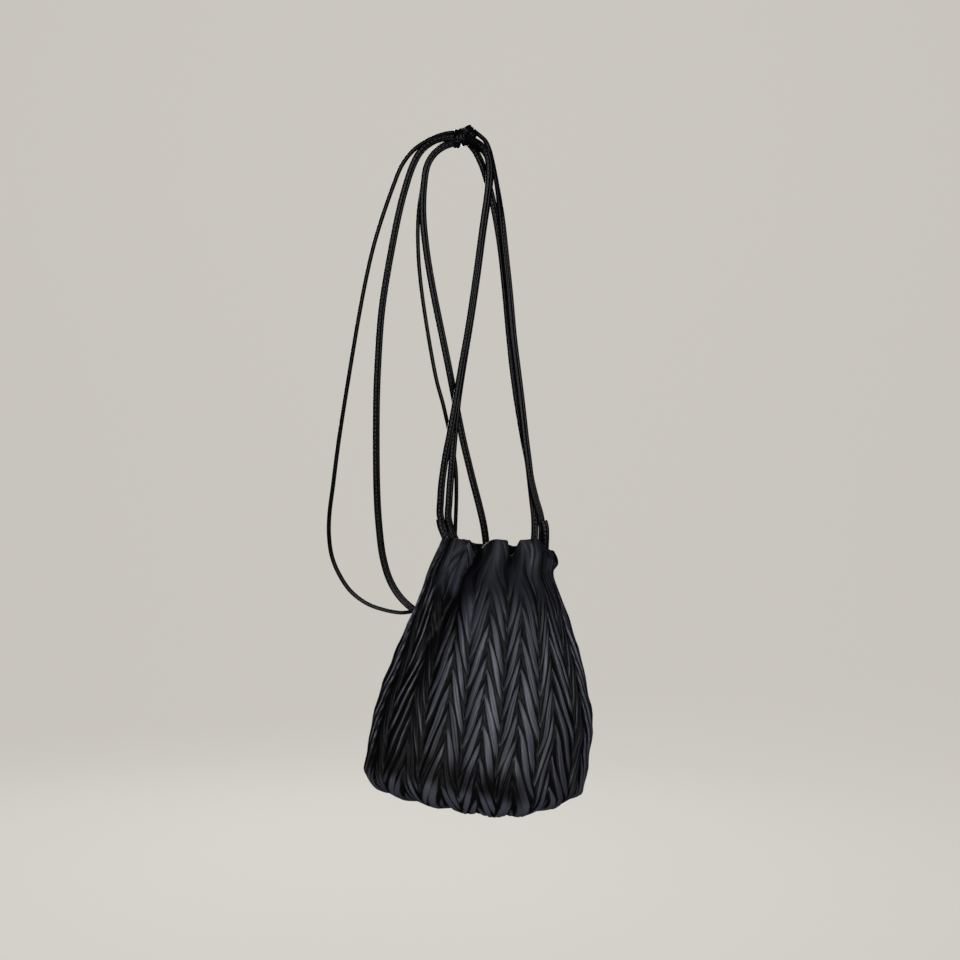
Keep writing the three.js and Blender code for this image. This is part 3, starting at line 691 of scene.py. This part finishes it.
# Smooth places between the gathers with a painted highlight: share of the girth, millimetres below the rim,
# reaches, strength of the painted highlight.
PAINTED_SHEEN_PLACES = [
    (-0.080, 28, 0.016, 14, 0.50), (-0.037, 52, 0.009, 13, 0.75), (-0.030, 68, 0.012, 14, 0.45),
    (0.200, 14, 0.040, 16, 0.55),
]


def creases(girth, length):
    """How far the long creases stand out, in millimetres, and the painted highlight along the creases and on
    the smooth places.
    """
    relief = np.zeros_like(length)
    painted_light = np.zeros_like(length)
    signed = signed_girth(girth)
    for half_width, height, painted_highlight, way in CREASES:
        nearest = np.full_like(length, np.inf)
        for (girth_a, length_a), (girth_b, length_b) in zip(way, way[1:]):
            along_x = (girth_b - girth_a) * CREASE_GIRTH
            along_y = length_b - length_a
            from_x = (signed - girth_a) * CREASE_GIRTH
            from_y = length - length_a
            share = np.clip((from_x * along_x + from_y * along_y) / (along_x ** 2 + along_y ** 2), 0, 1)
            nearest = np.minimum(nearest, np.hypot(from_x - share * along_x, from_y - share * along_y))
        line = np.exp(-((nearest / half_width) ** 2))
        relief = relief + height * line
        painted_light = np.maximum(painted_light, painted_highlight * line)
    for girth_at, length_at, girth_reach, length_reach, painted_highlight in PAINTED_SHEEN_PLACES:
        away = ((signed - girth_at) / girth_reach) ** 2 + ((length - length_at) / length_reach) ** 2
        painted_light = np.maximum(painted_light, painted_highlight * np.exp(-away))
    return relief, painted_light


# Near the rim the pleats flatten, apart from the left corner, and the slanted fold in front smooths them out.
RIM_RELIEF = 0.14
RIM_FADE = (18, 85)
LEFT_CORNER = 0.78
LEFT_CORNER_BREADTH = 0.06
LEFT_CORNER_RELIEF = 0.85
FOLD_START = -0.044
FOLD_SLANT = 0.00085
FOLD_BREADTH = 0.022
FOLD_FADE = (60, 115)
FOLD_FLATTENING = 0.85


def rim_and_fold(girth, length):
    """How much of the pleats the rim and the front fold leave, from 0 to 1, and where the fold is."""
    corner = np.exp(-(((girth - LEFT_CORNER) / LEFT_CORNER_BREADTH) ** 2))
    at_rim = RIM_RELIEF + (LEFT_CORNER_RELIEF - RIM_RELIEF) * corner
    pleated = at_rim + (1 - at_rim) * eased(*RIM_FADE, length)
    from_fold = signed_girth(girth) - FOLD_START + FOLD_SLANT * length
    fold = np.exp(-((from_fold / FOLD_BREADTH) ** 2)) * (1 - eased(*FOLD_FADE, length))
    return pleated * (1 - FOLD_FLATTENING * fold), fold


# A pleat is a long leaf, pointed where it meets the ridge and valley lines, with one slanting crease.
PLEAT_SHARE = 0.97
LEAF_TIP = 0.02
LEAF_FULLNESS = 0.85
LEAF_CREASE_BREADTH = 0.11
LEAF_CREASE_SLANT = 0.5
BEAT_HAIR = 1e-6


def leaf_place(girth, length):
    """Which pleat and half chevron a place lies on, how far it is from the ridge line to the valley line,
    where it lies across its leaf from -1 to 1, and how deep in the leaf's crease.
    The pleats of each half chevron start half a pitch below those beside them."""
    half, share = chevron_half(girth)
    uneven = WAVER_REACH * waver(girth, length, PLEAT_WAVES)
    beat = (length + uneven - pleat_fall(girth)) / PLEAT_PITCH - 0.5 * (half % 2)
    whole = np.floor(beat + BEAT_HAIR)
    pleat = np.clip(whole.astype(int) + FIRST_PLEAT, 0, PLEAT_COUNT - 1)
    lens = np.sin(math.pi * np.clip(share, LEAF_TIP, 1 - LEAF_TIP)) ** LEAF_FULLNESS
    breadth = PLEAT_SHARE * pleat_breadth[pleat, half] * lens
    across = 2 * (beat - whole - 0.5 - pleat_shift[pleat, half]) / breadth
    from_crease = across - leaf_crease_at[pleat, half] - LEAF_CREASE_SLANT * (share - 0.5)
    crease = leaf_crease_depth[pleat, half] * np.exp(-((from_crease / LEAF_CREASE_BREADTH) ** 2))
    return pleat, half, share, across, crease


# One pleat from its upper edge to its lower edge: place across it from -1 to 1, height from 0 to 1.
PLEAT_PROFILE = np.array([
    (-1.0, 0.0), (-0.87, 0.72), (-0.7, 0.84), (-0.3, 0.91), (0.1, 0.95), (0.6, 1.0), (0.82, 0.97),
    (0.93, 0.6), (1.0, 0.0),
])
PLEAT_HEIGHT = 2.1
GROUND_DEPTH = 0.9
LEAF_CREASE_SINK = 0.4
TAPER_TIP = 0.015
TAPER_FULLNESS = 0.4
RIDGE_RISE = 0.4
RIDGE_SHARPNESS = 3
VALLEY_DEPTH = 1.1
VALLEY_SHARPNESS = 5
LINES_AT_RIM = 0.5
LINES_REACH = 70
BASE_FLATTENING = 0.55
BASE_FLAT_REACH = 12
SCALLOP_DEPTH = 4.2
SCALLOP_MIDDLE = 0.35
SCALLOP_FADE = (40, 10)
RIPPLE_HEIGHT = 0.4
RIPPLE_FADE = (30, 80)
RIPPLE_PACE = 3.7
RIPPLE_WANDER = 3


def pleat_relief(girth, length):
    """How far a place stands out of the wall, in millimetres: pleats with their lower edges furthest out,
    ridge and valley lines, scallops at the base, ripples at the sides and long creases."""
    pleat, half, share, across, crease = leaf_place(girth, length)
    pleated, _ = rim_and_fold(girth, length)
    strength = pleat_strength[pleat, half] * half_strength[half]
    leaf = np.interp(across, PLEAT_PROFILE[:, 0], PLEAT_PROFILE[:, 1]) * (1 - LEAF_CREASE_SINK * crease)
    taper = np.sin(math.pi * np.clip(share, TAPER_TIP, 1 - TAPER_TIP)) ** TAPER_FULLNESS
    lines = RIDGE_RISE * (1 - share) ** RIDGE_SHARPNESS - VALLEY_DEPTH * share ** VALLEY_SHARPNESS
    lines = lines * (LINES_AT_RIM + (1 - LINES_AT_RIM) * eased(0, LINES_REACH, length))
    relief = (PLEAT_HEIGHT * strength * taper * leaf - GROUND_DEPTH) * pleated + lines
    relief = relief * (1 - BASE_FLATTENING * near_base(BASE_FLAT_REACH, 0, length))
    scallop = SCALLOP_DEPTH * chevron_scallop[half // 2] * (share ** 2 - SCALLOP_MIDDLE)
    scallop = scallop * near_base(*SCALLOP_FADE, length)
    sideways = np.sin(2 * math.pi * girth) ** 4 * eased(*RIPPLE_FADE, length)
    ripple = np.sin(length / RIPPLE_PACE + RIPPLE_WANDER * np.sin(6 * math.pi * girth))
    crease_relief, _ = creases(girth, length)
    return relief + scallop + RIPPLE_HEIGHT * sideways * ripple + crease_relief


# In front the whole face of a pleat is painted lit. Where the bag turns to its sides, only the lower edge is,
# so the sides get painted shade.
FRONT_FACE_START = -1.2
SIDE_FACE_START = 0.52
FACE_SOFTNESS = 0.15
LEFT_TURN = (0.045, 0.13)
RIGHT_TURN = (0.08, 0.17)
RIGHT_TURN_SHARE = 0.7
BACK_TURN = (0.28, 0.36)
BASE_TURN = (60, 25)
BASE_TURN_LOSS = 0.8


def face_share(girth, length, across):
    """How much a place across a pleat belongs to the painted-lit part of its face."""
    signed = signed_girth(girth)
    turned = eased(*LEFT_TURN, -signed) + RIGHT_TURN_SHARE * eased(*RIGHT_TURN, signed)
    turned = turned * (1 - BASE_TURN_LOSS * near_base(*BASE_TURN, length))
    turned = turned * (1 - eased(*BACK_TURN, np.abs(signed)))
    face_start = SIDE_FACE_START * turned + FRONT_FACE_START * (1 - turned)
    return eased(face_start - FACE_SOFTNESS, face_start + FACE_SOFTNESS, across)


# Above the base the front turns under and lies in a band of painted shade, and the rolled edge below it gets
# a painted highlight.
BASE_SHADE = 0.78
BASE_PAINTED_HIGHLIGHT = 0.4
BASE_SHADE_TILT = 14.0
SHADE_START = (24, 34)
SHADE_END = (42, 60)
SHADE_RIGHT_END = (0.4, 0.65)
ROLL_START = (4, 12)
ROLL_END = (20, 28)
FRONT_START = (0, 0.35)


def base_shade(girth, length):
    """What the painted light is multiplied by over the base: painted shade in the band and a painted
    highlight on the rolled edge.
    """
    to_right = np.sin(2 * math.pi * girth)
    to_front = eased(*FRONT_START, np.cos(2 * math.pi * girth))
    above_base = WALL_LENGTH - length + BASE_SHADE_TILT * to_right
    shaded = eased(*SHADE_START, above_base) * (1 - eased(*SHADE_END, above_base))
    shaded = shaded * (1 - eased(*SHADE_RIGHT_END, to_right))
    rolled = eased(*ROLL_START, above_base) * (1 - eased(*ROLL_END, above_base))
    return (1 - BASE_SHADE * shaded * to_front) * (1 + BASE_PAINTED_HIGHLIGHT * rolled * to_front)


# The painted-lit face of a pleat, which also carries the coat of gloss, from its upper edge to its lower edge
# like its profile.
PLEAT_FACE = np.array([(-1.0, 0.0), (-0.86, 1.0), (0.92, 1.0), (1.0, 0.0)])
# Less painted light is left near the rim and on the narrow halves, soft folds of painted sheen lie under the
# rim, and the front fold and leaf creases get painted shade.
RIM_PAINTED_LIGHT = 0.26
NARROW_PAINTED_LIGHT = 0.4
RIM_PAINTED_SHEEN = 0.46
SOFT_FOLDS = 19
SOFT_FOLD_WANDER = 1.5
SOFT_FOLD_PACE = 14
SOFT_FOLD_FLOOR = 0.4
FOLD_PAINTED_SHADE = 0.8


def pleat_painted_light(girth, length):
    """How much painted light a place gets, from 0 in the painted shade between the pleats to 1 on their lit
    faces.
    """
    pleat, half, _, across, crease = leaf_place(girth, length)
    pleated, fold = rim_and_fold(girth, length)
    face = np.interp(across, PLEAT_FACE[:, 0], PLEAT_FACE[:, 1]) * (1 - crease)
    face = face * face_share(girth, length, across)
    painted_light = face * (RIM_PAINTED_LIGHT + (1 - RIM_PAINTED_LIGHT) * pleated) * pleat_gloss[pleat, half]
    painted_light = painted_light * (NARROW_PAINTED_LIGHT + (1 - NARROW_PAINTED_LIGHT) * half_strength[half])
    soft_turn = 2 * math.pi * SOFT_FOLDS * girth + SOFT_FOLD_WANDER * np.sin(length / SOFT_FOLD_PACE)
    soft_fold = 0.5 + 0.5 * np.sin(soft_turn)
    painted_sheen = RIM_PAINTED_SHEEN * (1 - pleated) * (SOFT_FOLD_FLOOR + (1 - SOFT_FOLD_FLOOR) * soft_fold)
    painted_light = np.maximum(painted_light, painted_sheen) * (1 - FOLD_PAINTED_SHADE * fold) * base_shade(girth, length)
    _, crease_painted_light = creases(girth, length)
    return np.maximum(painted_light, crease_painted_light)


ROWS_PER_PLEAT = 24
STEPS_PER_HALF = 9
PLEATS_ABOVE = 4
PLEATS_BELOW = PLEAT_COUNT - 6
SETTLE_STEPS = 3
EDGE_MARGIN = 0.05
DENT_DEPTH = 1.3
DENT_FADE = (20, 90)
DENT_END = 40
RIM_ROWS = 4
RIM_ROUNDING = 0.9
RIM_TONE = 0.1
INNER_ROWS = 12
INSIDE_DEPTH = 2.3
INSIDE_STEP = 2.0
INSIDE_STEP_REACH = 50
INSIDE_TONE = -0.2
BASE_ROWS = 10
BASE_MIDDLE = (-1.0, -40.8, -516.0)
BASE_THICKNESS = 3.6
BASE_RELIEF = 0.4
BASE_TONE = 0


def pouch_mesh():
    """The points, faces and painted light of the pouch: its pleated outside, rim, plain inside and base."""
    columns = CHEVRONS * 2 * STEPS_PER_HALF
    step = np.arange(STEPS_PER_HALF) / STEPS_PER_HALF
    girth = [(k + valley * step, k + valley + (1 - valley) * step) for k, valley in enumerate(valley_at)]
    girth = np.array(girth).ravel() / CHEVRONS
    beats = np.arange(-PLEATS_ABOVE * ROWS_PER_PLEAT, PLEATS_BELOW * ROWS_PER_PLEAT) / ROWS_PER_PLEAT
    target = beats[:, None] * PLEAT_PITCH + pleat_fall(girth)[None, :]
    length = target
    for _ in range(SETTLE_STEPS):
        length = target - WAVER_REACH * waver(girth[None, :], length, PLEAT_WAVES)
    above = length <= EDGE_MARGIN
    below = length >= WALL_LENGTH - EDGE_MARGIN
    wall = ~above & ~below
    rim_index = np.arange(columns)
    foot_index = columns + np.arange(columns)
    index = np.zeros(length.shape, int)
    index[wall] = 2 * columns + np.arange(wall.sum())
    index = np.where(above, rim_index[None, :], index)
    index = np.where(below, foot_index[None, :], index)
    all_girth = np.concatenate([girth, girth, np.broadcast_to(girth, length.shape)[wall]])
    all_length = np.concatenate([np.zeros(columns), np.full(columns, WALL_LENGTH), length[wall]])
    dents = DENT_DEPTH * waver(all_girth, all_length, DENT_WAVES) * eased(*DENT_FADE, all_length)
    dents = dents * (1 - near_base(DENT_END, 0, all_length))
    out = pleat_relief(all_girth, all_length) + dents
    outward = wall_directions(gathered_wall, all_girth, all_length)
    places = [gathered_wall(all_girth, all_length) + outward * out[:, None]]
    tones = [pleat_painted_light(all_girth, all_length)]
    used = len(all_girth)
    faces = []
    for upper, lower in zip(index, index[1:]):
        for i in range(columns):
            j = (i + 1) % columns
            kept = []
            for corner in (upper[i], lower[i], lower[j], upper[j]):
                if corner not in kept:
                    kept.append(corner)
            if len(kept) > 2:
                faces.append(tuple(int(k) for k in kept))

    def add_row(row, tone_of_row):
        nonlocal used
        places.append(row)
        tones.append(np.full(columns, tone_of_row))
        used += columns
        return np.arange(used - columns, used)

    def join_rows(upper, lower):
        for i in range(columns):
            j = (i + 1) % columns
            faces.append((int(upper[i]), int(lower[i]), int(lower[j]), int(upper[j])))

    zero = np.zeros(columns)
    rim_outward = wall_directions(gathered_wall, girth, zero)
    rim_place = gathered_wall(girth, zero)
    rim_out = pleat_relief(girth, zero)
    last_row = rim_index
    for k in range(1, RIM_ROWS):
        bow = math.pi * k / RIM_ROWS
        depth = (rim_out - INSIDE_DEPTH) / 2 + (rim_out + INSIDE_DEPTH) / 2 * math.cos(bow)
        row = rim_place + rim_outward * depth[:, None]
        row[:, 2] += RIM_ROUNDING * math.sin(bow)
        this_row = add_row(row, RIM_TONE)
        join_rows(this_row, last_row)
        last_row = this_row
    for k in range(INNER_ROWS + 1):
        down = np.full(columns, WALL_LENGTH * k / INNER_ROWS)
        depth = INSIDE_DEPTH + INSIDE_STEP * eased(0, INSIDE_STEP_REACH, down)
        row = gathered_wall(girth, down) - wall_directions(gathered_wall, girth, down) * depth[:, None]
        this_row = add_row(row, INSIDE_TONE)
        join_rows(this_row, last_row)
        last_row = this_row
    middle = np.array(BASE_MIDDLE)
    inner_middle = middle + np.array([0, 0, BASE_THICKNESS])
    inner_edge = places[-1]
    for k in range(1, BASE_ROWS):
        share = k / BASE_ROWS
        this_row = add_row(inner_edge * (1 - share) + inner_middle * share, INSIDE_TONE)
        join_rows(this_row, last_row)
        last_row = this_row
    faces.append(tuple(int(k) for k in last_row))
    outer_edge = places[0][foot_index]
    foot_out = pleat_relief(girth, np.full(columns, WALL_LENGTH))
    last_row = foot_index
    for k in range(1, BASE_ROWS):
        share = k / BASE_ROWS
        row = outer_edge * (1 - share) + middle * share
        row[:, 2] -= BASE_RELIEF * math.sin(math.pi * share) * foot_out
        this_row = add_row(row, BASE_TONE)
        join_rows(last_row, this_row)
        last_row = this_row
    faces.append(tuple(int(k) for k in last_row[::-1]))
    return np.vstack(places) * MM, faces, np.concatenate(tones)


# The black leather's own colour, also used as painted shade between the pleats, and the lighter painted-lit
# colour of the pleat faces.
LEATHER_DARK = (0.0013, 0.0013, 0.0016, 1)
LEATHER_PAINTED_LIT = (0.0242, 0.0257, 0.0350, 1)
LEATHER_SPECULAR = 0.05
LEATHER_PEBBLES = 1100
LEATHER_CLOUDS = 55
LEATHER_ROUGHNESS = (0.36, 0.50)
LEATHER_GRAIN_STRENGTH = 0.4
LEATHER_GRAIN_DEPTH = 0.12 * MM
FACE_RANGE = (0.15, 0.85)
COAT_ROUGHNESS = 0.44
COAT_IOR = 1.3


def pleated_leather_material():
    """Black leather with painted shade between the pleats, and a lighter painted-lit colour and a soft coat
    of gloss on their faces.
    """
    material = bpy.data.materials.new("pleated_leather")
    material.use_nodes = True
    nodes = material.node_tree.nodes
    link = material.node_tree.links.new
    surface = nodes["Principled BSDF"]
    surface.inputs["Specular IOR Level"].default_value = LEATHER_SPECULAR
    surface.inputs["Coat Roughness"].default_value = COAT_ROUGHNESS
    surface.inputs["Coat IOR"].default_value = COAT_IOR
    grained(
        material, LEATHER_PEBBLES, LEATHER_CLOUDS, LEATHER_ROUGHNESS,
        LEATHER_GRAIN_STRENGTH, LEATHER_GRAIN_DEPTH,
    )
    painted_light = nodes.new("ShaderNodeAttribute")
    painted_light.attribute_name = "pleat"
    face = tone_ramp(nodes, *FACE_RANGE)
    link(painted_light.outputs["Fac"], face.inputs["Value"])
    leather = colour_mix(nodes, LEATHER_DARK, LEATHER_PAINTED_LIT)
    link(face.outputs["Result"], leather.inputs["Factor"])
    link(leather.outputs["Result"], surface.inputs["Base Color"])
    link(face.outputs["Result"], surface.inputs["Coat Weight"])
    return material


pleated_leather = pleated_leather_material()
pouch_places, pouch_faces, pouch_tones = pouch_mesh()
pouch = piece_from("pleated_pouch", pouch_places, pouch_faces, pleated_leather)
mark(pouch, "pleat", pouch_tones)
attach(pouch, "root")
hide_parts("pouch")


# Floor and light
# A plain pale sweep below and behind the purse, which glows a little and so stays even from all sides.
# A broad soft light shines from the upper right in front, a weak one from low on the left,
# one from behind the purse, and one falls on the sweep.
FLOOR_Z = -0.80
SWEEP_FRONT = -4.0
SWEEP_BEND = 1.7
SWEEP_RADIUS = 1.3
SWEEP_STEPS = 24
SWEEP_TOP = 3.0
SWEEP_HALF_WIDTH = 4.5
SWEEP_COLOUR = (0.050, 0.049, 0.047, 1)
SWEEP_ROUGHNESS = 0.9
SWEEP_GLOW = (0.530, 0.508, 0.470, 1)
SWEEP_GLOW_STRENGTH = 1.0
WORLD_COLOUR = (0.60, 0.575, 0.535, 1)
WORLD_LIGHT = 0.06
WORLD_SEEN = 1.0
PURSE_MIDDLE = (0, -0.03, -0.40)
PURSE_FOOT = (-0.02, -0.05, -0.5)
SWEEP_MIDDLE = (0, 3.0, 0.3)
# Name, place, aim, width, power and colour of each light.
SOFT_LIGHTS = [
    ("key light", (0.5, -1.95, 0.25), PURSE_MIDDLE, 1.0, 44, (0.97, 0.985, 1.0)),
    ("low light", (-0.2, -0.9, -0.79), PURSE_FOOT, 0.5, 10, (1.0, 0.99, 0.97)),
    ("back light", (-0.3, 1.6, 0.30), PURSE_MIDDLE, 1.2, 22, (0.98, 0.99, 1.0)),
    ("sweep light", (0, 0.35, 1.0), SWEEP_MIDDLE, 2.0, 50, (1.0, 0.98, 0.955)),
]

sweep_line = [(SWEEP_FRONT, FLOOR_Z), (SWEEP_BEND, FLOOR_Z)]
for k in range(1, SWEEP_STEPS + 1):
    bend = math.pi / 2 * k / SWEEP_STEPS
    sweep_y = SWEEP_BEND + SWEEP_RADIUS * math.sin(bend)
    sweep_z = FLOOR_Z + SWEEP_RADIUS * (1 - math.cos(bend))
    sweep_line.append((sweep_y, sweep_z))
sweep_line.append((SWEEP_BEND + SWEEP_RADIUS, SWEEP_TOP))
sweep_places = [(x, y, z) for y, z in sweep_line for x in (-SWEEP_HALF_WIDTH, SWEEP_HALF_WIDTH)]
sweep_faces = [(2 * k, 2 * k + 1, 2 * k + 3, 2 * k + 2) for k in range(len(sweep_line) - 1)]
sweep_material = bpy.data.materials.new("pale sweep")
sweep_material.use_nodes = True
sweep_surface = sweep_material.node_tree.nodes["Principled BSDF"]
sweep_surface.inputs["Base Color"].default_value = SWEEP_COLOUR
sweep_surface.inputs["Roughness"].default_value = SWEEP_ROUGHNESS
sweep_surface.inputs["Emission Color"].default_value = SWEEP_GLOW
sweep_surface.inputs["Emission Strength"].default_value = SWEEP_GLOW_STRENGTH
sweep = piece_from("pale_sweep", sweep_places, sweep_faces, sweep_material)
sweep.visible_glossy = False

world = bpy.data.worlds.new("soft light")
world.use_nodes = True
world_nodes = world.node_tree.nodes
world_surface = world_nodes["Background"]
world_surface.inputs["Color"].default_value = WORLD_COLOUR
seen = world_nodes.new("ShaderNodeLightPath")
world_level = world_nodes.new("ShaderNodeMapRange")
world_level.inputs["To Min"].default_value = WORLD_LIGHT
world_level.inputs["To Max"].default_value = WORLD_SEEN
world.node_tree.links.new(seen.outputs["Is Camera Ray"], world_level.inputs["Value"])
world.node_tree.links.new(world_level.outputs["Result"], world_surface.inputs["Strength"])
bpy.context.scene.world = world


def soft_light(name, place, aim, size, power, colour):
    """A round soft light that the camera doesn't see."""
    data = bpy.data.lights.new(name, "AREA")
    data.shape = "DISK"
    data.size = size
    data.energy = power
    data.color = colour
    light = bpy.data.objects.new(name, data)
    light.location = place
    light.visible_camera = False
    way = unit(np.array(aim, float) - np.array(place, float))
    light.rotation_euler = (math.acos(-way[2]), 0, math.atan2(way[1], way[0]) - math.pi / 2)
    bpy.context.scene.collection.objects.link(light)


for light_row in SOFT_LIGHTS:
    soft_light(*light_row)
bpy.context.scene.view_settings.view_transform = "Standard"
